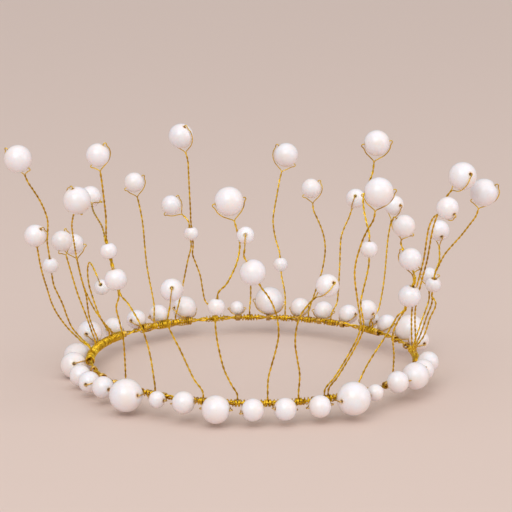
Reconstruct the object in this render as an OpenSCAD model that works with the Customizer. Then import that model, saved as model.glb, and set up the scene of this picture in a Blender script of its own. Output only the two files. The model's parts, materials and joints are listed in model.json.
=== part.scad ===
// A crown of pearls on gilt wire. A ring of wire carries a band of pearls,
// and twisted wire stems rise from the gaps in the band and end in pearls.
// Units are millimetres. The origin is the middle of the wire ring, +Z is up
// and the front of the crown faces -Y.

/* [Pearls] */
// Diameter of the smallest pearls
pearl_6 = 6; // [4:0.5:8]
// Diameter of the common pearls
pearl_8 = 8; // [6:0.5:10]
// Diameter of the two pearls between the common and the large size
pearl_9 = 9; // [6:0.5:12]
// Diameter of the large pearls
pearl_10 = 10; // [7:0.5:13]
// Diameter of the largest pearls
pearl_12 = 12; // [9:0.5:15]
// Diameter of the hole drilled through a pearl that has one stem's wire in it
bore_d = 1.2; // [1.1:0.1:2]
// Diameter of the hole in a pearl that two stems share
shared_bore_d = 2.2; // [1.9:0.1:2.6]

/* [Wire] */
// Diameter of the stem wire
wire_d = 0.4; // [0.3:0.05:0.6]
// Width of two strands twisted together
twist_w = 0.76; // [0.6:0.02:0.8]
// Diameter of each of the two wires of the ring
ring_wire_d = 0.9; // [0.7:0.1:1.6]

/* [Ring] */
// Radius of the ring, to the middle of its two wires
ring_r = 62; // [50:1:75]
// Length of the wire wound round the ring behind each band pearl
tie_l = 1.8; // [1:0.1:3]
// Length of the wire wound round the ring at the foot of a stem
winding_l = 1.5; // [1:0.1:3]

/* [Stems] */
// Height scale of the stems over the ring
stem_rise = 1; // [0.8:0.05:1.2]
// Length of the neck where the two strands part below a pearl
neck_gap = 1.7; // [1.2:0.1:3]
// How far the wire stands out where it enters a pearl
ear_out = 0.9; // [0.6:0.1:1.5]

/* [Fit] */
// Space between a pearl and the wire that runs round it
loop_gap = 0.3; // [0.2:0.05:0.6]
// Space between a band pearl and the wire that holds it to the ring
tie_gap = 0.1; // [0.05:0.05:0.6]
// Space between the wound wire and the ring wires
wound_gap = 0.04; // [0.02:0.01:0.1]
// Space between the two ring wires
ring_gap = 0.06; // [0.02:0.01:0.2]

/* [Detail] */
// Sides of a stem's wire
wire_sides = 6; // [6:1:8]
// Length of a stem between two rings of points
wire_step = 5; // [3:0.5:8]

/* [Hidden] */
$fn = 64;
gold = [0.83, 0.66, 0.33];
bronze = [0.62, 0.46, 0.24];
ivory = [0.93, 0.91, 0.90];

// Half width of the pair of ring wires, and the wound wire over them.
bundle_r = ring_wire_d + ring_gap / 2;
wound_in = bundle_r + wound_gap;
wound_out = wound_in + wire_d;
wound_mid = (wound_in + wound_out) / 2;

// The band, pearl by pearl from the front towards +X. Each entry is the
// pearl's size, the share of the free rim left after it, how far it sits
// round the ring wires from level, and the turn and yaw of its hole.
band = [
    [pearl_8, 3.4, -8, 10, 20], [pearl_8, 4.7, -8, -10, 10],
    [pearl_8, 2.2, -8, 10, -15], [pearl_12, 3.2, 8, 0, 10],
    [pearl_6, 4.9, 6, 10, 0], [pearl_8, 1.8, 22, -15, -50],
    [pearl_10, 1.6, 18, 20, -30], [pearl_8, 1.6, 16, -20, 0],
    [pearl_8, 26.2, 22, 20, -20], [pearl_8, 1.8, 18, 12, 10],
    [pearl_12, 3.3, 24, 10, 0], [pearl_8, 2.4, 28, -10, 10],
    [pearl_8, 2.7, 30, 10, 0], [pearl_8, 4, 36, -10, 0],
    [pearl_8, 2.4, 36, 10, 10], [pearl_8, 3.7, 46, -10, 0],
    [pearl_12, 5, 50, 10, 0], [pearl_6, 15, 44, 0, 0],
    [pearl_10, 3.8, 40, 10, 0], [pearl_8, 3.3, 36, -10, 0],
    [pearl_8, 5.7, 30, 10, 10], [pearl_8, 10.5, 22, 0, 0],
    [pearl_10, 3.4, 40, 10, 0], [pearl_10, 1.8, -14, -20, 20],
    [pearl_10, 6.9, -18, 20, 10], [pearl_8, 3.8, -18, 0, 0],
    [pearl_8, 3.3, -12, 10, -40], [pearl_8, 5.4, -4, 0, 0],
    [pearl_12, 2.6, 2, 10, 0], [pearl_6, 4.2, 0, 0, 0],
    [pearl_8, 3.1, 6, 10, 10], [pearl_10, 3.8, -6, 0, 0]
];
rim_l = 2 * PI * (ring_r + 6);
free_l = rim_l - total([for (b = band) b[0]]);
share_l = total([for (b = band) b[1]]);

function total(list, i = 0) = i < len(list) ? list[i] + total(list, i + 1) : 0;
function unit(v) = v / norm(v);
function gap_after(i) = band[i][1] * free_l / share_l;
function rim_angle(l) = l * 360 / rim_l;

// Length along the rim from the middle of pearl 0 to the middle of pearl i.
function rim_to(i) = i == 0 ? 0
    : rim_to(i - 1) + (band[i - 1][0] + band[i][0]) / 2 + gap_after(i - 1);
function band_angle(i) = rim_angle(rim_to(i));
function gap_angle(i) = rim_angle(rim_to(i) + band[i][0] / 2 + gap_after(i) / 2);

// A place by its angle round the crown from the front, its distance outside
// the ring and its height. The three directions there are outwards, along
// the rim and up.
function place(a, out, up) = [(ring_r + out) * sin(a), -(ring_r + out) * cos(a), up];
function outward(a) = [sin(a), -cos(a), 0];
function along(a) = [cos(a), sin(a), 0];

// Pearls threaded part of the way up the stems: angle, distance outside the
// ring, height, size, and the lean of the hole along the rim and outwards.
threaded = [
    [-45, 6, 41, pearl_8, -0.25, 0.1],
    [-47, 7, 51, pearl_6, -0.25, 0.1],
    [-11, 3, 35, pearl_6, 0.1, 0],
    [0, 6, 48, pearl_9, -0.55, 0],
    [37, 5, 53, pearl_6, 0, 0],
    [49, 11, 35, pearl_8, 0.1, 0.3],
    [87, 6, 29, pearl_6, -0.3, 0.1],
    [170, 3, 22, pearl_6, 0.1, 0.1],
    [-155, -2, 37, pearl_6, 0.1, 0],
    [-85, 14, 37, pearl_6, 0.2, 0.1]
];
function threaded_at(k) =
    place(threaded[k][0], threaded[k][1], threaded[k][2] * stem_rise);
function threaded_axis(k) = unit(along(threaded[k][0]) * threaded[k][4]
    + outward(threaded[k][0]) * threaded[k][5] + [0, 0, 1]);

// Stems. Each is the band gap it is rooted in, its root's shift along the
// rim, the places it passes, and its end pearl: angle, distance outside the
// ring, height, size and the turn and lean of its hole. A place of two numbers is a
// threaded pearl and the side of its hole that the stem runs on.
front_left_low = [27, 0, [[-45, 3, 19], [-45, 6, 31], [0, -1], [1, -1],
    [-54, 4, 58], [-66, 1, 61]], [-79, -1, 64, pearl_8, -110, 20]];
front_left_tall = [28, 0, [[-36, 0, 15], [-38, 2, 25], [-42, 4, 33], [0, 1], [1, 1],
    [-46, 9, 58], [-45, 10, 64], [-42, 15, 77]], [-41, 18, 87, pearl_8, 115, 50]];
front_left_inner = [30, 0, [[-19, 1, 8], [-23, 3, 19], [-26, 5, 28]],
    [-25, 4, 40, pearl_8, -115, 20]];
front_tall = [31, 0, [[-9, 1, 12], [-11, 3, 24], [2, 0], [-8, 3, 43], [-5, 2, 50],
    [-4, 1, 57], [-5, 3, 63]], [-7, 4, 72, pearl_10, -20, 5]];
front_middle = [0, 0, [[5, 0, 9], [8, 2, 25], [6, 3, 36], [3, 0]],
    [-2, 7, 61, pearl_6, -90, 20]];
front_right_low = [1, 0, [[15, 1, 10], [13, 3, 22], [14, 4, 31], [17, 6, 37]],
    [21, 9, 43, pearl_8, -84, 50]];
front_right_wide = [2, -0.7, [[26.5, 2, 8], [31.5, 4, 18], [33.5, 6, 26], [32.5, 6, 34],
    [30, 8, 47], [30, 13, 59], [31, 17, 66]], [31, 20, 76, pearl_10, -155, 15]];
front_right_tall = [2, 0.9, [[27.6, 2, 8], [32.6, 4, 18], [34.6, 6, 26], [34, 5, 34], [36, 5, 43],
    [4, 0], [38, 2, 62], [39, -1, 70], [42, 0, 78]], [43, 1, 89, pearl_9, -140, 15]];
right_front_low = [3, 0, [[40, 1, 10], [45, 5, 21], [47, 8, 28], [5, -1]],
    [47, 13, 49, pearl_8, 75, 50]];
right_front_tall = [5, 0, [[51, 3, 12], [48, 5, 21], [49, 8, 28], [5, 1],
    [51, 9, 46], [50, 6, 53]], [48, 9, 60, pearl_8, 70, 35]];
right_trunk_low = [8, -8, [[79, -1, 5], [75, -1, 14], [71, 0, 24], [67, 3, 34],
    [65, 6, 44], [62, 9, 56], [60, 12, 61]], [56, 20, 66, pearl_8, -50, 35]];
right_trunk_tall = [8, -6, [[81, 0, 6], [77, 0, 15], [72, 1, 24], [68, 4, 34],
    [66, 7, 44], [64, 10, 57], [64, 14, 67]], [63, 21, 76, pearl_10, -40, 50]];
right_fork_wide = [8, -1, [[90, 3, 8], [89, 5, 15], [88, 7, 22], [6, -1],
    [82, 10, 42], [79, 16, 50], [75, 22, 59]], [73, 25, 68, pearl_10, -105, 50]];
right_fork_inner = [8, 1.2, [[92, 2, 8], [91, 4, 15], [90, 6, 22], [6, 1],
    [87, 8, 38]], [90, 8, 49, pearl_8, 165, 45]];
right_fork_low = [8, 5, [[96, 3, 12], [97, 6, 20]], [97, 6, 30, pearl_6, -83, 0]];
back_left_single = [19, 0, [[-140, 1, 9], [-139, 4, 25], [-138, 5, 43]],
    [-136, 7, 59, pearl_8, 35, 25]];
back_left_low = [18, 0, [[-151, 0, 10], [-154, -1, 26], [8, 1], [-153, 0, 44]],
    [-148, 1, 49, pearl_8, 10, 5]];
back_left_tall = [17, 0, [[-161, -1, 8], [-159, -1, 19], [-156, -1, 28], [8, -1],
    [-154, -4, 46], [-153, -5, 58], [-152, -6, 68]], [-149, -6, 78, pearl_10, 65, 50]];
back_middle_low = [16, 0, [[-179, 1, 9]], [-179, 1, 19, pearl_6, 0, 0]];
back_middle_tall = [15, 0, [[168, 1, 10], [7, 0], [172, 5, 32], [173, 5, 40],
    [172, 6, 49], [171, 8, 57]], [169, 9, 67, pearl_10, 171, 35]];
back_right_inner = [14, 0, [[157, 1, 9], [154, 2, 20], [153, 3, 30], [154, 2, 38],
    [157, 1, 46]], [158, 1, 55, pearl_8, -23, 37]];
back_right_middle = [13, 0, [[148, 3, 8], [148, 5, 24], [148, 6, 35], [146, 8, 43]],
    [144, 9, 51, pearl_8, 70, 25]];
back_right_outer = [11, 0, [[130, 4, 8], [130, 7, 20], [131, 10, 36]],
    [130, 12, 50, pearl_8, 5, 10]];
back_right_bud = [11, -1.8, [], [127, -5, 10, pearl_8, 0, 0]];
left_outer_tall = [23, -0.9, [[-91, 7, 11], [-88, 10, 21], [-86, 13, 29], [9, 0],
    [-82, 15, 47], [-78, 15, 56], [-75, 18, 64], [-72, 23, 72]],
    [-70, 27, 81, pearl_10, -40, 50]];
left_outer_low = [23, 0.9, [[-89, 8, 11], [-83, 13, 21], [-77, 16, 31],
    [-72, 19, 40]], [-66, 23, 54, pearl_8, 105, 50]];
left_inner_low = [22, 1.8, [[-96, 2, 13], [-94, 5, 23], [-93, 7, 31]],
    [-90, 10, 45, pearl_8, 40, 50]];
left_inner_tall = [22, -1.8, [[-99, 2, 13], [-95, 2, 22], [-91, 3, 30], [-86, 4, 38],
    [-80, 5, 45], [-73, 7, 55]], [-64, 8, 66, pearl_10, -25, 50]];
left_inner_back = [21, 0, [[-108, 3, 13], [-106, 7, 24]],
    [-105, 10, 40, pearl_8, -105, 15]];
left_inner_drop = [21, 2.2, [[-107, 1, 12], [-105, 4, 24], [-104, 4, 31], [-101, 2, 34],
    [-98, -1, 31]], [-95, -4, 26, pearl_6, 0, 0]];

function stem_root(s) = let (a = gap_angle(s[0]) + rim_angle(s[1])) place(a, 0, wound_mid);
function tip_at(s) = place(s[3][0], s[3][1], s[3][2] * stem_rise);

// Four places in line through a threaded pearl, so that the stem is straight
// inside the hole. Two stems share one hole side by side.
function through(k, side) =
    let (axis = threaded_axis(k), r = threaded[k][3] / 2,
        beside = unit(cross(axis, outward(threaded[k][0]))) * side * (twist_w / 2 + 0.06))
    [for (l = [-r - 1.5, -r, r, r + 1.5]) threaded_at(k) + beside + axis * l];
function spread(way) = [for (w = way)
    each len(w) == 2 ? through(w[0], w[1]) : [place(w[0], w[1], w[2] * stem_rise)]];

// The stem's guide: up out of the winding, past each place, and straight
// into the neck under its end pearl.
function low_guide(s) = concat([stem_root(s), stem_root(s) + [0, 0, 1.5]], spread(s[2]));
function neck_axis(s) = let (g = low_guide(s)) unit(g[len(g) - 1] - tip_at(s));
function guide(s) = concat(low_guide(s),
    [tip_at(s) + neck_axis(s) * (s[3][3] / 2 + neck_gap)]);

// A smooth curve through guide points: each span is a cubic whose slope at a
// point is half the step between that point's two neighbours.
function curve_point(p, q, r, s, t) = 0.5 * (2 * q + (r - p) * t
    + (2 * p - 5 * q + 4 * r - s) * t * t + (3 * q - p - 3 * r + s) * t * t * t);
function smooth(g) = [for (i = [0 : len(g) - 2])
    let (steps = max(1, round(norm(g[i + 1] - g[i]) / wire_step)))
    for (k = [0 : steps - 1])
        curve_point(g[max(i - 1, 0)], g[i], g[i + 1], g[min(i + 2, len(g) - 1)], k / steps)];

// The hole's direction in an end pearl, from its turn about the neck and its lean: at no
// lean it is square to the neck, and the first end of the hole rises as it leans.
function hole_axis(s) =
    let (n = neck_axis(s), e = unit(cross(n, outward(s[3][0]))), f = cross(n, e))
    (e * cos(s[3][4]) + f * sin(s[3][4])) * cos(s[3][5]) - n * sin(s[3][5]);

// The single strand from the neck round one side of the pearl, with an ear
// where it turns into the hole, then through and back on the other side.
function round_pearl(s, side) =
    let (c = tip_at(s), n = neck_axis(s), b = hole_axis(s) * side, r = s[3][3] / 2,
        m = unit(b - n * (n * b)), last = acos(n * b) - 12,
        steps = max(1, round((last - 16) / 21)), hug = r + loop_gap + wire_d / 2)
    concat(
        [for (k = [0 : steps]) let (f = 16 + (last - 16) * k / steps)
            c + (n * cos(f) + m * sin(f))
                * (hug + (neck_gap - loop_gap - wire_d) * pow(max(0, 1 - f / 60), 2))],
        [c + b * (r + ear_out) + (n * sin(last + 12) - m * cos(last + 12)) / 2,
            c + b * (r + ear_out - 0.1), c + b * r * 0.8]);
function reverse(list) = [for (i = [len(list) - 1 : -1 : 0]) list[i]];

// A tube with closed ends round a path. Each ring of points is square to the
// path, and one corner of it stays turned towards the given direction.
module tube(path, radii, face) {
    n = len(path);
    sides = wire_sides;
    points = [for (i = [0 : n - 1])
        let (t = unit(path[min(i + 1, n - 1)] - path[max(i - 1, 0)]),
            u = unit(cross(t, face)), v = cross(t, u))
        for (k = [0 : sides - 1])
            path[i] + (u * cos(360 * k / sides) + v * sin(360 * k / sides)) * radii[i]];
    walls = [for (i = [0 : n - 2], k = [0 : sides - 1])
        let (a = i * sides + k, b = i * sides + (k + 1) % sides)
        each [[a, b + sides, b], [a, a + sides, b + sides]]];
    caps = [for (k = [1 : sides - 2])
        each [[0, k, k + 1], [(n - 1) * sides, (n - 1) * sides + k + 1, (n - 1) * sides + k]]];
    polyhedron(points, concat(walls, caps));
}

// One folded length of wire: its twisted pair is the stem and its single
// strand carries the end pearl.
module stem(s) {
    g = guide(s);
    low = smooth(g);
    neck = [g[len(g) - 1]];
    ring = concat(round_pearl(s, 1), reverse(round_pearl(s, -1)));
    path = concat(low, neck, ring);
    radii = concat([for (p = low) twist_w / 2], [twist_w / 2], [for (p = ring) wire_d / 2]);
    color(gold) tube(path, radii, unit(cross(neck_axis(s), hole_axis(s))));
}

// Turns +Z to the given direction.
module aim(v) {
    rotate([0, acos(v[2] / norm(v)), atan2(v[1], v[0])]) children();
}

// A pearl drilled right through.
module pearl(d, bore) {
    color(ivory) difference() {
        sphere(d = d);
        cylinder(h = d + 2, d = bore, center = true);
    }
}
module end_pearl(s) {
    translate(tip_at(s)) aim(hole_axis(s)) pearl(s[3][3], bore_d);
}
module threaded_pearl(k, bore) {
    translate(threaded_at(k)) aim(threaded_axis(k)) pearl(threaded[k][3], bore);
}

// The wire wound round the ring over a short length, as a sleeve.
module wound(a, l) {
    half = rim_angle(l) / 2;
    rotate([0, 0, a - 90 - half]) rotate_extrude(angle = 2 * half)
        translate([ring_r, 0]) difference() {
            circle(r = wound_out);
            circle(r = wound_in);
        }
}

// Places of the band pearls. A pearl stands off the ring by its tie.
function tie_r(i) = band[i][0] / 2 + tie_gap + wire_d / 2;
function stand_off(i) = tie_r(i) + wound_out - wire_d / 5;
module at_band(i) {
    rotate([0, 0, band_angle(i) - 90]) translate([ring_r, 0, 0])
        rotate([0, -band[i][2], 0]) translate([stand_off(i), 0, 0])
            rotate([band[i][3], 0, 0]) rotate([0, 0, band[i][4]]) rotate([-90, 0, 0]) children();
}
module band_pearls(size) {
    for (i = [0 : len(band) - 1])
        if (band[i][0] == size) at_band(i) pearl(size, bore_d);
}

// The tie of a band pearl: a wire through its hole, half round the pearl on
// the ring's side, and wound round the ring.
module band_tie(i) {
    arc_r = tie_r(i);
    color(bronze) {
        at_band(i) {
            cylinder(h = 2 * arc_r, d = wire_d, center = true);
            for (z = [-arc_r, arc_r]) translate([0, 0, z]) sphere(d = wire_d * 1.3);
            rotate([90, 0, 0]) rotate_extrude(angle = 180, start = 90)
                translate([arc_r, 0]) circle(d = wire_d);
        }
        wound(band_angle(i), tie_l);
    }
}
module band_ties() {
    for (i = [0 : len(band) - 1]) band_tie(i);
}

// The ring's two wires lie side by side.
module ring_wire(side) {
    color(gold) rotate_extrude()
        translate([ring_r + side * (ring_wire_d + ring_gap) / 2, 0]) circle(d = ring_wire_d);
}

all_stems = [front_left_low, front_left_tall, front_left_inner, front_tall, front_middle,
    front_right_low, front_right_wide, front_right_tall, right_front_low, right_front_tall,
    right_trunk_low, right_trunk_tall, right_fork_wide, right_fork_inner, right_fork_low,
    back_left_single, back_left_low, back_left_tall, back_middle_low, back_middle_tall,
    back_right_inner, back_right_middle, back_right_outer, back_right_bud, left_outer_tall,
    left_outer_low, left_inner_low, left_inner_tall, left_inner_back, left_inner_drop];
module root_windings() {
    for (s = all_stems) color(gold) wound(gap_angle(s[0]) + rim_angle(s[1]), winding_l);
}

module stems_front_left() {
    stem(front_left_low);
    stem(front_left_tall);
    stem(front_left_inner);
}
module stems_front_middle() {
    stem(front_tall);
    stem(front_middle);
    stem(front_right_low);
}
module stems_front_right() {
    stem(front_right_wide);
    stem(front_right_tall);
}
module stems_right_front() {
    stem(right_front_low);
    stem(right_front_tall);
}
module stems_right_trunk() {
    stem(right_trunk_low);
    stem(right_trunk_tall);
}
module stems_right_fork() {
    stem(right_fork_wide);
    stem(right_fork_inner);
    stem(right_fork_low);
}
module stems_back_left() {
    stem(back_left_single);
    stem(back_left_low);
    stem(back_left_tall);
}
module stems_back_middle() {
    stem(back_middle_low);
    stem(back_middle_tall);
}
module stems_back_right() {
    stem(back_right_inner);
    stem(back_right_middle);
    stem(back_right_outer);
    stem(back_right_bud);
}
module stems_left_outer() {
    stem(left_outer_tall);
    stem(left_outer_low);
}
module stems_left_inner() {
    stem(left_inner_low);
    stem(left_inner_tall);
    stem(left_inner_back);
    stem(left_inner_drop);
}
module shared_pearls_6mm() {
    for (k = [1, 6, 8]) threaded_pearl(k, shared_bore_d);
}
module shared_pearls_8mm() {
    for (k = [0, 5]) threaded_pearl(k, shared_bore_d);
}

ring_wire(1);  // ring_wire_outer
ring_wire(-1);  // ring_wire_inner
band_ties();
root_windings();
band_pearls(pearl_6);  // band_pearls_6mm
band_pearls(pearl_8);  // band_pearls_8mm
band_pearls(pearl_10);  // band_pearls_10mm
band_pearls(pearl_12);  // band_pearls_12mm
stems_front_left();
stems_front_middle();
stems_front_right();
stems_right_front();
stems_right_trunk();
stems_right_fork();
stems_back_left();
stems_back_middle();
stems_back_right();
stems_left_outer();
stems_left_inner();
shared_pearls_6mm();
shared_pearls_8mm();
threaded_pearl(2, bore_d);  // threaded_front_tall
threaded_pearl(3, bore_d);  // threaded_front_middle
threaded_pearl(4, bore_d);  // threaded_front_right
threaded_pearl(7, bore_d);  // threaded_back_middle
threaded_pearl(9, bore_d);  // threaded_left_outer
end_pearl(front_left_low);  // pearl_front_left_low
end_pearl(front_left_tall);  // pearl_front_left_tall
end_pearl(front_left_inner);  // pearl_front_left_inner
end_pearl(front_tall);  // pearl_front_tall
end_pearl(front_middle);  // pearl_front_middle
end_pearl(front_right_low);  // pearl_front_right_low
end_pearl(front_right_wide);  // pearl_front_right_wide
end_pearl(front_right_tall);  // pearl_front_right_tall
end_pearl(right_front_low);  // pearl_right_front_low
end_pearl(right_front_tall);  // pearl_right_front_tall
end_pearl(right_trunk_low);  // pearl_right_trunk_low
end_pearl(right_trunk_tall);  // pearl_right_trunk_tall
end_pearl(right_fork_wide);  // pearl_right_fork_wide
end_pearl(right_fork_inner);  // pearl_right_fork_inner
end_pearl(right_fork_low);  // pearl_right_fork_low
end_pearl(back_left_single);  // pearl_back_left_single
end_pearl(back_left_low);  // pearl_back_left_low
end_pearl(back_left_tall);  // pearl_back_left_tall
end_pearl(back_middle_low);  // pearl_back_middle_low
end_pearl(back_middle_tall);  // pearl_back_middle_tall
end_pearl(back_right_inner);  // pearl_back_right_inner
end_pearl(back_right_middle);  // pearl_back_right_middle
end_pearl(back_right_outer);  // pearl_back_right_outer
end_pearl(back_right_bud);  // pearl_back_right_bud
end_pearl(left_outer_tall);  // pearl_left_outer_tall
end_pearl(left_outer_low);  // pearl_left_outer_low
end_pearl(left_inner_low);  // pearl_left_inner_low
end_pearl(left_inner_tall);  // pearl_left_inner_tall
end_pearl(left_inner_back);  // pearl_left_inner_back
end_pearl(left_inner_drop);  // pearl_left_inner_drop
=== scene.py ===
"""Crown of white pearls on gilt wire: the visible pieces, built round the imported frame.

Every length is in metres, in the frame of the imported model: the origin is the middle of the
wire ring, +Z is up and the front of the crown faces -Y.
"""
import json

import bpy
import numpy as np
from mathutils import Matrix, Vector


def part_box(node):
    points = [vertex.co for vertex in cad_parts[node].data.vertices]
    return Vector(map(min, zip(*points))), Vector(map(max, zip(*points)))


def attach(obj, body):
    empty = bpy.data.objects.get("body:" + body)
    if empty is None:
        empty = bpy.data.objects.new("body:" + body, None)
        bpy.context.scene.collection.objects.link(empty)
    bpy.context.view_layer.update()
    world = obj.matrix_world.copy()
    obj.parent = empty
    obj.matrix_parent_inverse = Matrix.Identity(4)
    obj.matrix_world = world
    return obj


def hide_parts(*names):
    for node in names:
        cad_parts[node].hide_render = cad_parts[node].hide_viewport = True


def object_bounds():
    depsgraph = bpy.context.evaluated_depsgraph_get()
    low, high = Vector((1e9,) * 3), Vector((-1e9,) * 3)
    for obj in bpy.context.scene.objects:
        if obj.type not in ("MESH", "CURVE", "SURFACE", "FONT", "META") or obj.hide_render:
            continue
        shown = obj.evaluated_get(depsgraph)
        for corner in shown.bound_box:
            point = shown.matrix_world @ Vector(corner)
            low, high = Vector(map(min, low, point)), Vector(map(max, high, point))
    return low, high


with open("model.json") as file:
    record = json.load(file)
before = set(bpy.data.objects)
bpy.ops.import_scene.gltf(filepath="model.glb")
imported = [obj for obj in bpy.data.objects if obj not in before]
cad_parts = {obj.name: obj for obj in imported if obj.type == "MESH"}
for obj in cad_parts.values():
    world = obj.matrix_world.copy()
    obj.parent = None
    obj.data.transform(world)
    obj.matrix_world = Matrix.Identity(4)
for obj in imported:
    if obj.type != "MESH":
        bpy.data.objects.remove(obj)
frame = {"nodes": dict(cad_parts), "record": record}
cad_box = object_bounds()


# ---------------------------------------------------------------- the ring
# Two cords, each laid up from three gilt brass wires, are twisted round each other and joined
# into the ring that sits on the head. The two CAD wires lie side by side in the same width.
ring_low, ring_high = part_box("ring_wire_outer")
inner_low, inner_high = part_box("ring_wire_inner")
CORD = ring_high.z - ring_low.z
RING_R = (ring_high.x + inner_high.x) / 2 - CORD / 2
CORD_OFF = (ring_high.x - inner_high.x) / 2
CORD_TWISTS = 41
STRAND_TWISTS = 104
RING_STEPS = 1100
STRAND = CORD / (1 + 2 / np.sqrt(3))
SIDES = 8


def unit(vectors):
    """Each vector divided by its length."""
    return vectors / np.linalg.norm(vectors, axis=-1, keepdims=True)


def dot(a, b):
    """The dot product of each pair of vectors, kept as a column."""
    return (a * b).sum(axis=-1, keepdims=True)


def steady_frame(path, closed=False):
    """Two directions square to the path at each point, which don't spin about it. A frame built
    on one fixed direction is turned back by the running sum of its own small turns."""
    if closed:
        path = np.vstack((path[-1:], path, path[:2]))
    tangent = unit(np.gradient(path, axis=0))
    fixed = np.linalg.svd(tangent, full_matrices=False)[2][-1]
    side = unit(np.cross(tangent, fixed))
    over = np.cross(tangent, side)
    here, there = tangent[:-1], tangent[1:]
    carried = side[:-1] - (here + there) * dot(there, side[:-1]) / (1 + dot(here, there))
    turn = np.arctan2(dot(carried, over[1:]), dot(carried, side[1:]))[:, 0]
    turn = np.concatenate(([0], np.cumsum(turn)))
    if closed:
        gap = (turn[-2] - turn[1] + np.pi) % (2 * np.pi) - np.pi
        turn = turn - gap * (np.arange(len(turn)) - 1) / (len(turn) - 3)
    turn = turn[:, None]
    first = side * np.cos(turn) + over * np.sin(turn)
    second = over * np.cos(turn) - side * np.sin(turn)
    keep = slice(1, -2) if closed else slice(None)
    return first[keep], second[keep]


def wire_tube(path, thickness, closed=False):
    """A round wire carried along a path: path + half thickness x (cos a x first + sin a x
    second). Gives its points, its faces and the place of each face corner on the wire."""
    first, second = steady_frame(path, closed)
    a = (2 * np.pi * np.arange(SIDES) / SIDES)[None, :, None]
    ring = first[:, None] * np.cos(a) + second[:, None] * np.sin(a)
    points = (path[:, None] + ring * thickness / 2).reshape(-1, 3)
    number = np.arange(len(points)).reshape(-1, SIDES)
    nearer = number if closed else number[:-1]
    further = np.roll(number, -1, axis=0) if closed else number[1:]
    quads = np.stack(
        (nearer, np.roll(nearer, -1, axis=1), np.roll(further, -1, axis=1), further), axis=-1
    )
    run = np.concatenate(([0], np.cumsum(np.linalg.norm(np.diff(path, axis=0), axis=1))))
    run = np.append(run, run[-1] + run[1])
    rows = np.arange(len(nearer))[:, None, None]
    columns = np.arange(SIDES)[None, :, None]
    round_it = np.broadcast_to(columns + np.array([0, 1, 1, 0]), quads.shape) / SIDES
    along_it = run[np.broadcast_to(rows + np.array([0, 0, 1, 1]), quads.shape)]
    faces = quads.reshape(-1, 4).tolist()
    spots = np.stack((round_it, along_it), axis=-1).reshape(-1, 2)
    if not closed:
        faces += [number[0, ::-1].tolist(), number[-1].tolist()]
        spots = np.vstack((spots, np.zeros((2 * SIDES, 2))))
    return points, faces, spots


def make_piece(name, parts, finish, body, nodes):
    """One mesh of several closed surfaces, in place of the CAD nodes, riding on its body."""
    points, faces, spots, first = [], [], [], 0
    for part_points, part_faces, part_spots in parts:
        points.append(part_points)
        faces += [[corner + first for corner in face] for face in part_faces]
        spots.append(part_spots)
        first += len(part_points)
    mesh = bpy.data.meshes.new(name)
    mesh.from_pydata(np.vstack(points), [], faces)
    layer = mesh.uv_layers.new(name="along_the_surface")
    layer.data.foreach_set("uv", np.vstack(spots).astype(np.float32).ravel())
    mesh.polygons.foreach_set("use_smooth", np.ones(len(mesh.polygons), bool))
    mesh.materials.append(finish)
    mesh.validate()
    piece = bpy.data.objects.new(name, mesh)
    bpy.context.scene.collection.objects.link(piece)
    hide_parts(*nodes)
    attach(piece, body)
    return piece


def wired(nodes, a, a_socket, b, b_socket):
    """Joins one node's output to another's input, each given by its name or its number."""
    nodes.id_data.links.new(a.outputs[a_socket], b.inputs[b_socket])


def gilt(name, bright, deep, roughest):
    """Gilt wire: its gold runs from bright to deep in patches a few millimetres long, it is
    duller in the deep patches, and fine lines run along it."""
    material = bpy.data.materials.new(name)
    material.use_nodes = True
    nodes = material.node_tree.nodes
    shader = nodes["Principled BSDF"]
    shader.inputs["Metallic"].default_value = 1
    place = nodes.new("ShaderNodeTexCoord")
    patches = nodes.new("ShaderNodeTexNoise")
    patches.inputs["Scale"].default_value = 420
    patches.inputs["Detail"].default_value = 4
    wired(nodes, place, "Object", patches, "Vector")
    colour = nodes.new("ShaderNodeValToRGB")
    colour.color_ramp.elements[0].position = 0.36
    colour.color_ramp.elements[0].color = (*deep, 1)
    colour.color_ramp.elements[1].position = 0.60
    colour.color_ramp.elements[1].color = (*bright, 1)
    wired(nodes, patches, "Fac", colour, "Fac")
    wired(nodes, colour, "Color", shader, "Base Color")
    dullness = nodes.new("ShaderNodeMapRange")
    dullness.inputs["From Min"].default_value = 0.35
    dullness.inputs["From Max"].default_value = 0.65
    dullness.inputs["To Min"].default_value = roughest
    dullness.inputs["To Max"].default_value = 0.22
    wired(nodes, patches, "Fac", dullness, "Value")
    wired(nodes, dullness, "Result", shader, "Roughness")
    surface = nodes.new("ShaderNodeUVMap")
    surface.uv_map = "along_the_surface"
    stretch = nodes.new("ShaderNodeMapping")
    stretch.inputs["Scale"].default_value = (24, 300, 1)
    wired(nodes, surface, "UV", stretch, "Vector")
    lines = nodes.new("ShaderNodeTexNoise")
    lines.inputs["Scale"].default_value = 1
    lines.inputs["Detail"].default_value = 2
    wired(nodes, stretch, "Vector", lines, "Vector")
    relief = nodes.new("ShaderNodeBump")
    relief.inputs["Strength"].default_value = 0.35
    relief.inputs["Distance"].default_value = 0.00003
    wired(nodes, lines, "Fac", relief, "Height")
    wired(nodes, relief, "Normal", shader, "Normal")
    return material


gilt_wire = gilt("gilt_wire", (0.98, 0.67, 0.045), (0.52, 0.29, 0.010), 0.34)


def on_ring(angle, out, up):
    """A place by its angle round the ring from the front, how far it is outside the ring's
    middle line and its height: ((R + out) sin, -(R + out) cos, up)."""
    return np.stack(
        ((RING_R + out) * np.sin(angle), -(RING_R + out) * np.cos(angle), up + 0 * angle), axis=-1
    )


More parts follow.
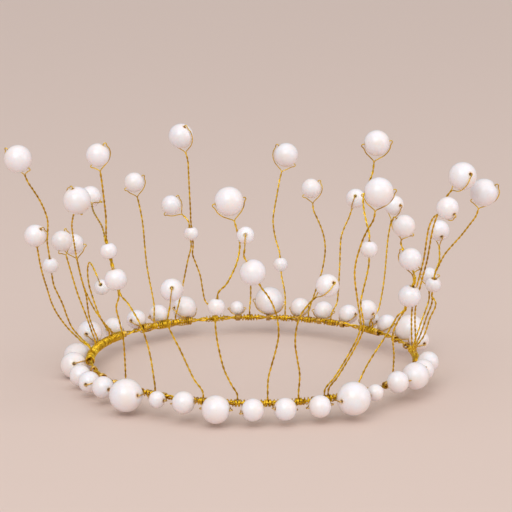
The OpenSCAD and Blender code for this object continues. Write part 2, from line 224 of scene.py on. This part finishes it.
def ring_strand(cord, strand):
    """One wire of the ring. It turns about its cord's middle, which turns about the ring's."""
    angle = 2 * np.pi * np.arange(RING_STEPS) / RING_STEPS
    cord_turn = CORD_TWISTS * angle + np.pi * cord
    turn = STRAND_TWISTS * angle + 2 * np.pi * strand / 3
    off = (CORD - STRAND) / 2
    out = CORD_OFF * np.cos(cord_turn) + off * np.cos(turn)
    up = CORD_OFF * np.sin(cord_turn) + off * np.sin(turn)
    return wire_tube(on_ring(angle, out, up), STRAND, closed=True)


for cord, node in enumerate(("ring_wire_outer", "ring_wire_inner")):
    strands = [ring_strand(cord, strand) for strand in range(3)]
    make_piece(f"{node}_strands", strands, gilt_wire, "frame", [node])


# ---------------------------------------------------------------- the stems
# Each stem is one length of 0.4 mm gilt brass wire, folded in half and twisted up on itself.
# At its top the two halves part, run round the two sides of the end pearl, stand out in a
# small ear and go through its hole. The middle line is read from the stem's CAD solid.
STEM_NODES = [node for node in frame["nodes"] if node.startswith("stems_")]
WIRE = 0.0004
PAIR_WIRE = WIRE * 0.95
PAIR_OFF = PAIR_WIRE / 2
LAY = 0.0043
WIRE_STEP = 0.0004
PAIR_REACH = WIRE * 0.75
SAME_PLACE = 1e-5


def solids_of(node):
    """The node's solids, as lists of (places, triangles). Corners at one place are made one.
    Then each corner takes its neighbours' lowest number, until a solid has one number."""
    mesh = frame["nodes"][node].data
    mesh.calc_loop_triangles()
    corners = np.zeros(len(mesh.vertices) * 3, np.float32)
    mesh.vertices.foreach_get("co", corners)
    triangles = np.zeros(len(mesh.loop_triangles) * 3, np.int32)
    mesh.loop_triangles.foreach_get("vertices", triangles)
    corners = corners.reshape(-1, 3)
    grid = np.round(corners / SAME_PLACE).astype(np.int64)
    _, first, same = np.unique(grid, axis=0, return_index=True, return_inverse=True)
    places = corners[first].astype(float)
    triangles = same.reshape(-1)[triangles].reshape(-1, 3)
    number = np.arange(len(places))
    while True:
        lowest = number.copy()
        for a, b in ((0, 1), (1, 2), (2, 0)):
            np.minimum.at(lowest, triangles[:, a], number[triangles[:, b]])
            np.minimum.at(lowest, triangles[:, b], number[triangles[:, a]])
        if (lowest == number).all():
            break
        number = lowest[lowest]
    solids = []
    for one in np.unique(number):
        mine = number == one
        renumber = np.cumsum(mine) - 1
        solids.append((places[mine], renumber[triangles[mine[triangles[:, 0]]]]))
    return solids


def middle_line(places, triangles):
    """The middles of a stem's rings of corners, from the root up, and how wide each ring is.
    The flat end at the foot is the first ring, and each next one is what the last is joined
    to."""
    ends = np.vstack([triangles[:, pair] for pair in ([0, 1], [1, 2], [2, 0])])
    ends = np.vstack((ends, ends[:, ::-1]))
    ring_of = np.where(places[:, 2] < places[:, 2].min() + SAME_PLACE, 0, -1)
    for ring in range(len(places)):
        reached = ends[ring_of[ends[:, 0]] == ring, 1]
        new = reached[ring_of[reached] < 0]
        if not len(new):
            break
        ring_of[new] = ring + 1
    corners = np.bincount(ring_of)
    middles = np.stack([np.bincount(ring_of, places[:, i]) / corners for i in range(3)], -1)
    reach = np.bincount(ring_of, np.linalg.norm(places - middles[ring_of], axis=1)) / corners
    return middles, reach


def smooth_path(points, step):
    """A curve through the points, one point every step along it. Each span is a cubic whose
    slope at a point is the slope of the parabola through it and its two neighbours."""
    run = np.concatenate(([0], np.cumsum(np.linalg.norm(np.diff(points, axis=0), axis=1))))
    slope = np.gradient(points, run, axis=0)
    at = np.linspace(0, run[-1], max(2, int(np.ceil(run[-1] / step)) + 1))
    span = np.clip(np.searchsorted(run, at, side="right") - 1, 0, len(run) - 2)
    length = (run[span + 1] - run[span])[:, None]
    t = (at[:, None] - run[span][:, None]) / length
    return (
        (2 * t**3 - 3 * t**2 + 1) * points[span]
        + (t**3 - 2 * t**2 + t) * length * slope[span]
        + (3 * t**2 - 2 * t**3) * points[span + 1]
        + (t**3 - t**2) * length * slope[span + 1]
    )


def folded_wire(line, reach):
    """The one wire of a stem. Up to the neck, its halves are the middle line plus and minus
    offset x (first cos turn + second sin turn), with turn set so that they part towards the
    two ends of the hole. Then come the loop's own points, and the other half down again. The
    neck is the last ring as wide as a pair, and the loop's longest span is in the hole."""
    neck = np.flatnonzero(reach > PAIR_REACH)[-1] + 1
    stem = smooth_path(line[:neck], WIRE_STEP)
    loop = line[neck:]
    first, second = steady_frame(stem)
    spans = loop[:-1] - loop[1:]
    hole = spans[np.argmax(np.linalg.norm(spans, axis=1))]
    left_to_go = WIRE_STEP * np.arange(len(stem) - 1, -1, -1)
    turn = np.arctan2(hole @ second[-1], hole @ first[-1]) + 2 * np.pi * left_to_go / LAY
    offset = PAIR_OFF * (first * np.cos(turn)[:, None] + second * np.sin(turn)[:, None])
    whole = np.vstack(((stem + offset)[:-1], loop, (stem - offset)[-2::-1]))
    return wire_tube(smooth_path(whole, WIRE_STEP), PAIR_WIRE)


roots = []
for node in STEM_NODES:
    lines = [middle_line(*solid) for solid in solids_of(node)]
    roots += [line[0] for line, _ in lines]
    make_piece(f"{node}_wire", [folded_wire(*line) for line in lines], gilt_wire,
               "frame", [node])


# ---------------------------------------------------------------- the tails at the roots
# The two ends of each stem's wire are wound tightly round the ring, one each way, and then
# run on round it in a few open turns, so that the stem stands up from the ring. At the back
# left, where long stems stand close together, they run on for longer over the other wire.
COIL_R = CORD + WIRE * 0.7
CLOSE_TURNS = 2.0
OPEN_TURNS = 2.4
OPEN_PITCH = 0.0013
LONG_TURNS = 6.0
LONG_PITCH = 0.0010
LONG_FROM = np.radians(-165)
LONG_TO = np.radians(-84)
TURN_STEPS = 22


def tail(root, way):
    """A helix round the ring's middle line: out = r cos turn, up = r sin turn, with the place
    along the ring growing by one wire a turn at first and by the open pitch after that. A
    long tail climbs by one wire as it opens, onto the wire that is wound there already."""
    start = np.arctan2(root[0], -root[1])
    long = LONG_FROM < start < LONG_TO
    open_turns, pitch = (LONG_TURNS, LONG_PITCH) if long else (OPEN_TURNS, OPEN_PITCH)
    count = int((CLOSE_TURNS + open_turns) * TURN_STEPS)
    turns = np.linspace(0, CLOSE_TURNS + open_turns, count)
    opened = np.maximum(turns - CLOSE_TURNS, 0)
    along = way * (PAIR_OFF + turns * WIRE + opened * (pitch - WIRE))
    turn = np.pi / 2 + way * 2 * np.pi * turns
    reach = COIL_R + long * WIRE * np.minimum(opened, 1)
    return wire_tube(
        on_ring(start + along / RING_R, reach * np.cos(turn), reach * np.sin(turn)), WIRE
    )


make_piece("root_tails", [tail(root, way) for root in roots for way in (1, -1)], gilt_wire,
           "frame", ["root_windings"])


# ---------------------------------------------------------------- the pearls
# Moulded balls with many coats of white pearl lacquer, drilled right through. The lacquer
# sinks a little round each hole and is worn from its edge, where the chalky core shows. The
# same golden-tan fills the bore, where it is a painted reflection of the gold wire and painted
# light over the hole's shade.
EDGE = 0.00012
EDGE_STEPS = 4
WALL_STEPS = 6
SINK = 0.00010
SINK_ANGLE = 0.16
WEAR_ANGLE = 0.07
OFF_EVERY_HOLE = [0.31, 0.11, 0.94]
PEARL_ROWS = 44
PEARL_COLUMNS = 56


def drilled_ball(centre, radius, hole, axis):
    """An outline turned about the line of the hole. The outline is the ball's arc, less a sink
    that fades with the angle from the hole, a quarter round over each edge, and the bore."""
    rim = np.arcsin((hole + EDGE) / radius)
    polar = np.linspace(rim, np.pi - rim, PEARL_ROWS)
    near = np.minimum(polar, np.pi - polar) - rim
    reach = radius - SINK * np.exp(-((near / SINK_ANGLE) ** 2))
    ball = np.stack((reach * np.sin(polar), reach * np.cos(polar)), axis=-1)
    quarter = np.linspace(0, np.pi / 2, EDGE_STEPS + 1)[1:]
    top = ball[0]
    over = np.stack((top[0] - EDGE * np.sin(quarter), top[1] - EDGE * (1 - np.cos(quarter))), -1)
    wall_up = np.linspace(-over[-1][1], over[-1][1], WALL_STEPS + 2)[1:-1]
    wall = np.stack((np.full(WALL_STEPS, over[-1][0]), wall_up), -1)
    outline = np.vstack((ball, over * [1, -1], wall, over[::-1]))
    # The rows of the hole take the full golden-tan mark: in the bore it is a painted reflection of
    # the gold wire and painted light over its shade; on the ball round the rim it is worn lacquer.
    hole_rows = np.zeros(2 * EDGE_STEPS + WALL_STEPS)
    worn_rim_and_painted_bore = np.exp(-(np.concatenate((near, hole_rows)) / WEAR_ANGLE) ** 2)
    side = unit(np.cross(axis, OFF_EVERY_HOLE))
    a = (2 * np.pi * np.arange(PEARL_COLUMNS) / PEARL_COLUMNS)[None, :, None]
    spoke = side * np.cos(a) + np.cross(axis, side) * np.sin(a)
    points = centre + outline[:, 0, None, None] * spoke + outline[:, 1, None, None] * axis
    number = np.arange(points.size // 3).reshape(len(outline), PEARL_COLUMNS)
    below = np.roll(number, -1, axis=0)
    quads = np.stack((number, below, np.roll(below, -1, 1), np.roll(number, -1, 1)), axis=-1)
    column = np.arange(PEARL_COLUMNS)[None, :, None] + np.array([0, 0, 1, 1])
    wear_and_painted_reflection = np.stack((worn_rim_and_painted_bore, np.roll(worn_rim_and_painted_bore, -1), np.roll(worn_rim_and_painted_bore, -1), worn_rim_and_painted_bore), -1)[:, None]
    spots = np.stack(np.broadcast_arrays(column / PEARL_COLUMNS, wear_and_painted_reflection), -1)
    return points.reshape(-1, 3), quads.reshape(-1, 4).tolist(), spots.reshape(-1, 2)


def ball_from_solid(places, triangles):
    """The ball and the hole of a CAD pearl, as middle, radius, hole radius and hole direction.
    All corners lie on the ball, so |p|^2 = 2 c.p + (r^2 - |c|^2) gives the middle and the
    radius. The triangles whose middles lie deep inside are the wall of the hole, and the way
    in which their corners reach furthest is its direction."""
    known = np.column_stack((2 * places, np.ones(len(places))))
    answer = np.linalg.lstsq(known, (places**2).sum(1), rcond=None)[0]
    centre = answer[:3]
    radius = np.sqrt(answer[3] + centre @ centre)
    depth = np.linalg.norm(places[triangles].mean(axis=1) - centre, axis=1)
    wall = places[np.unique(triangles[depth < 0.8 * radius])] - centre
    axis = np.linalg.svd(wall, full_matrices=False)[2][0]
    hole = np.sqrt(((wall - dot(wall, axis) * axis) ** 2).sum(1).mean())
    return centre, radius, hole, axis


CLOUD_SCALE = 170
RIPPLE_SCALE = 900
CREAM = (0.95, 0.87, 0.83, 1)
LILAC = (0.92, 0.91, 0.95, 1)
# Golden-tan: the chalky core where the lacquer is worn round each hole, and in the bore a painted
# reflection of the gold wire.
CHALK_AND_GOLD_REFLECTION = (0.86, 0.68, 0.46, 1)


def pearl_lacquer(name):
    """Pearl lacquer: cream and lilac clouds, a soft glow from within, a glossy coat with faint
    rainbow, tiny ripples, and a golden-tan mark at each hole: a chalky worn ring round its rim,
    and in the bore a painted reflection of the gold wire and painted light over its shade."""
    material = bpy.data.materials.new(name)
    material.use_nodes = True
    nodes = material.node_tree.nodes
    shader = nodes["Principled BSDF"]
    shader.inputs["Subsurface Weight"].default_value = 0.25
    shader.inputs["Subsurface Radius"].default_value = (1.0, 0.72, 0.62)
    shader.inputs["Subsurface Scale"].default_value = 0.0012
    shader.inputs["Coat Weight"].default_value = 0.55
    shader.inputs["Coat Roughness"].default_value = 0.10
    shader.inputs["Thin Film Thickness"].default_value = 380
    shader.inputs["Thin Film IOR"].default_value = 1.6
    place = nodes.new("ShaderNodeTexCoord")
    clouds = nodes.new("ShaderNodeTexNoise")
    clouds.inputs["Scale"].default_value = CLOUD_SCALE
    clouds.inputs["Detail"].default_value = 3
    wired(nodes, place, "Object", clouds, "Vector")
    tint = nodes.new("ShaderNodeValToRGB")
    tint.color_ramp.elements[0].position = 0.35
    tint.color_ramp.elements[0].color = CREAM
    tint.color_ramp.elements[1].position = 0.65
    tint.color_ramp.elements[1].color = LILAC
    wired(nodes, clouds, "Fac", tint, "Fac")
    surface = nodes.new("ShaderNodeUVMap")
    surface.uv_map = "along_the_surface"
    split = nodes.new("ShaderNodeSeparateXYZ")
    wired(nodes, surface, "UV", split, "Vector")
    # The golden-tan at each hole is worn lacquer round the rim and, in the bore, a painted
    # reflection of the gold wire with painted light over the hole's shade.
    chalk_and_gold_reflection = nodes.new("ShaderNodeMix")
    chalk_and_gold_reflection.data_type = "RGBA"
    wired(nodes, split, "Y", chalk_and_gold_reflection, "Factor")
    wired(nodes, tint, "Color", chalk_and_gold_reflection, 6)
    chalk_and_gold_reflection.inputs[7].default_value = CHALK_AND_GOLD_REFLECTION
    wired(nodes, chalk_and_gold_reflection, 2, shader, "Base Color")
    ripples = nodes.new("ShaderNodeTexNoise")
    ripples.inputs["Scale"].default_value = RIPPLE_SCALE
    ripples.inputs["Detail"].default_value = 2
    wired(nodes, place, "Object", ripples, "Vector")
    gloss = nodes.new("ShaderNodeMapRange")
    gloss.inputs["To Min"].default_value = 0.20
    gloss.inputs["To Max"].default_value = 0.42
    wired(nodes, ripples, "Fac", gloss, "Value")
    wired(nodes, gloss, "Result", shader, "Roughness")
    relief = nodes.new("ShaderNodeBump")
    relief.inputs["Strength"].default_value = 0.25
    relief.inputs["Distance"].default_value = 0.00005
    wired(nodes, ripples, "Fac", relief, "Height")
    wired(nodes, relief, "Normal", shader, "Normal")
    return material


pearl_finish = pearl_lacquer("pearl")
body_of = {node: body for body, group in frame["record"]["behaviour"]["bodies"].items()
           for node in group}
band_balls = []
for node in frame["nodes"]:
    if "pearl" in node or node.startswith("threaded_"):
        balls = [ball_from_solid(*solid) for solid in solids_of(node)]
        if node.startswith("band_"):
            band_balls += balls
        make_piece(f"{node}_lacquered", [drilled_ball(*ball) for ball in balls], pearl_finish,
                   body_of[node], [node])


# ---------------------------------------------------------------- the ties of the band
# A rougher wire, whose darker gold is painted shade, holds each band pearl to the ring.
# It goes through the pearl's hole, comes back round both of its sides, and its two ends are
# wound together on the ring behind it.
TIE_TURNS = 4
TIE_EAR = 0.0008
TIE_GAP = 0.0003
TIE_SIDE_ANGLES = np.radians([38, 60, 78])
EAR_BACK = 0.0005
EAR_TIP = 0.0001
IN_THE_HOLE = 0.75
# The tie wire's darker gold is painted shade over the same gilt.
tie_wire = gilt("tie_wire", (0.80, 0.53, 0.13), (0.50, 0.29, 0.07), 0.48)


def pearl_tie(centre, radius, hole, axis):
    """One closed wire. The coil on the ring is a helix that starts and ends on the pearl's
    side. From each end the wire runs round the pearl as centre + reach (hole direction x sin a
    - way from the ring x cos a), and then through an ear and along the hole."""
    angle = np.arctan2(centre[0], -centre[1])
    ring_point = on_ring(angle, 0, 0)
    away = unit(centre - ring_point)
    forward = np.array([np.cos(angle), np.sin(angle), 0])
    axis = axis * np.sign(axis @ forward)
    square = unit(away - (away @ axis) * axis)
    turn = np.linspace(0, 1, TIE_TURNS * TURN_STEPS)
    spin = np.arctan2(away[2], away @ unit(ring_point)) + 2 * np.pi * TIE_TURNS * turn
    along = (turn - 0.5) * TIE_TURNS * WIRE
    coil = on_ring(
        angle + along / RING_R, COIL_R * np.cos(spin), COIL_R * np.sin(spin)
    )
    a = TIE_SIDE_ANGLES[:, None]
    side = (axis * np.sin(a) - square * np.cos(a)) * (radius + TIE_GAP)
    ear = np.array([
        axis * (radius + TIE_EAR) - square * EAR_BACK,
        axis * (radius + TIE_EAR - EAR_TIP),
        axis * radius * IN_THE_HOLE,
    ])
    there = np.vstack((side, ear))
    mirrored = there - 2 * dot(there, axis) * axis
    path = np.vstack((centre + mirrored[::-1], coil, centre + there))
    return wire_tube(smooth_path(path, WIRE_STEP), WIRE)


make_piece("band_tie_wires", [pearl_tie(*ball) for ball in band_balls], tie_wire,
           "frame", ["band_ties"])


# ---------------------------------------------------------------- floor, light and camera
# The crown stands on a plain pale floor under broad soft lamps and a wide even light from
# above. The camera looks slightly down on it from the front.
FLOOR_REACH = 6.0
SKY_WIDTH = 1.4
CAMERA_PITCH = np.radians(12)
CAMERA_AWAY = 0.6718
CAMERA_LENS = 125.16
AIM = Vector((0.0011, 0, 0.0392))


def soft_lamp(name, spot, size, power, colour):
    """A square lamp that faces the middle of the crown."""
    data = bpy.data.lights.new(name, "AREA")
    data.size = size
    data.energy = power
    data.color = colour
    lamp = bpy.data.objects.new(name, data)
    lamp.location = spot
    lamp.rotation_euler = (Vector((0, 0, 0.04)) - Vector(spot)).to_track_quat("-Z", "Y").to_euler()
    bpy.context.scene.collection.objects.link(lamp)


def pale_floor():
    """A flat square under the lowest point of the crown."""
    low = cad_box[0].z
    sides = ((-1, -1), (1, -1), (1, 1), (-1, 1))
    corners = [(FLOOR_REACH * x, FLOOR_REACH * y, low) for x, y in sides]
    mesh = bpy.data.meshes.new("floor")
    mesh.from_pydata(corners, [], [(0, 1, 2, 3)])
    material = bpy.data.materials.new("pale_floor")
    material.use_nodes = True
    shader = material.node_tree.nodes["Principled BSDF"]
    shader.inputs["Base Color"].default_value = (0.72, 0.58, 0.51, 1)
    shader.inputs["Roughness"].default_value = 0.7
    mesh.materials.append(material)
    floor = bpy.data.objects.new("floor", mesh)
    bpy.context.scene.collection.objects.link(floor)


pale_floor()
soft_lamp("lamp_front", (-0.4, -1.1, 0.9), 0.9, 5, (1.0, 0.99, 1.0))
soft_lamp("lamp_side", (1.2, -0.5, 0.5), 0.7, 2.5, (1.0, 0.95, 0.92))
sky = bpy.data.lights.new("sky", "SUN")
sky.energy = 1.15
sky.angle = SKY_WIDTH
sky_lamp = bpy.data.objects.new("sky", sky)
sky_lamp.rotation_euler = (0.35, 0.1, 0)
bpy.context.scene.collection.objects.link(sky_lamp)
world = bpy.data.worlds.new("studio")
world.use_nodes = True
world.node_tree.nodes["Background"].inputs["Color"].default_value = (0.86, 0.84, 0.85, 1)
world.node_tree.nodes["Background"].inputs["Strength"].default_value = 0.56
bpy.context.scene.world = world
bpy.context.scene.view_settings.view_transform = "Standard"

camera = bpy.data.objects.new("camera", bpy.data.cameras.new("camera"))
camera.data.lens = CAMERA_LENS
camera.data.sensor_width = 36
camera.data.clip_start = 0.01
camera.location = AIM + CAMERA_AWAY * Vector((0, -np.cos(CAMERA_PITCH), np.sin(CAMERA_PITCH)))
camera.rotation_euler = (np.pi / 2 - CAMERA_PITCH, 0, 0)
bpy.context.scene.collection.objects.link(camera)
bpy.context.scene.camera = camera
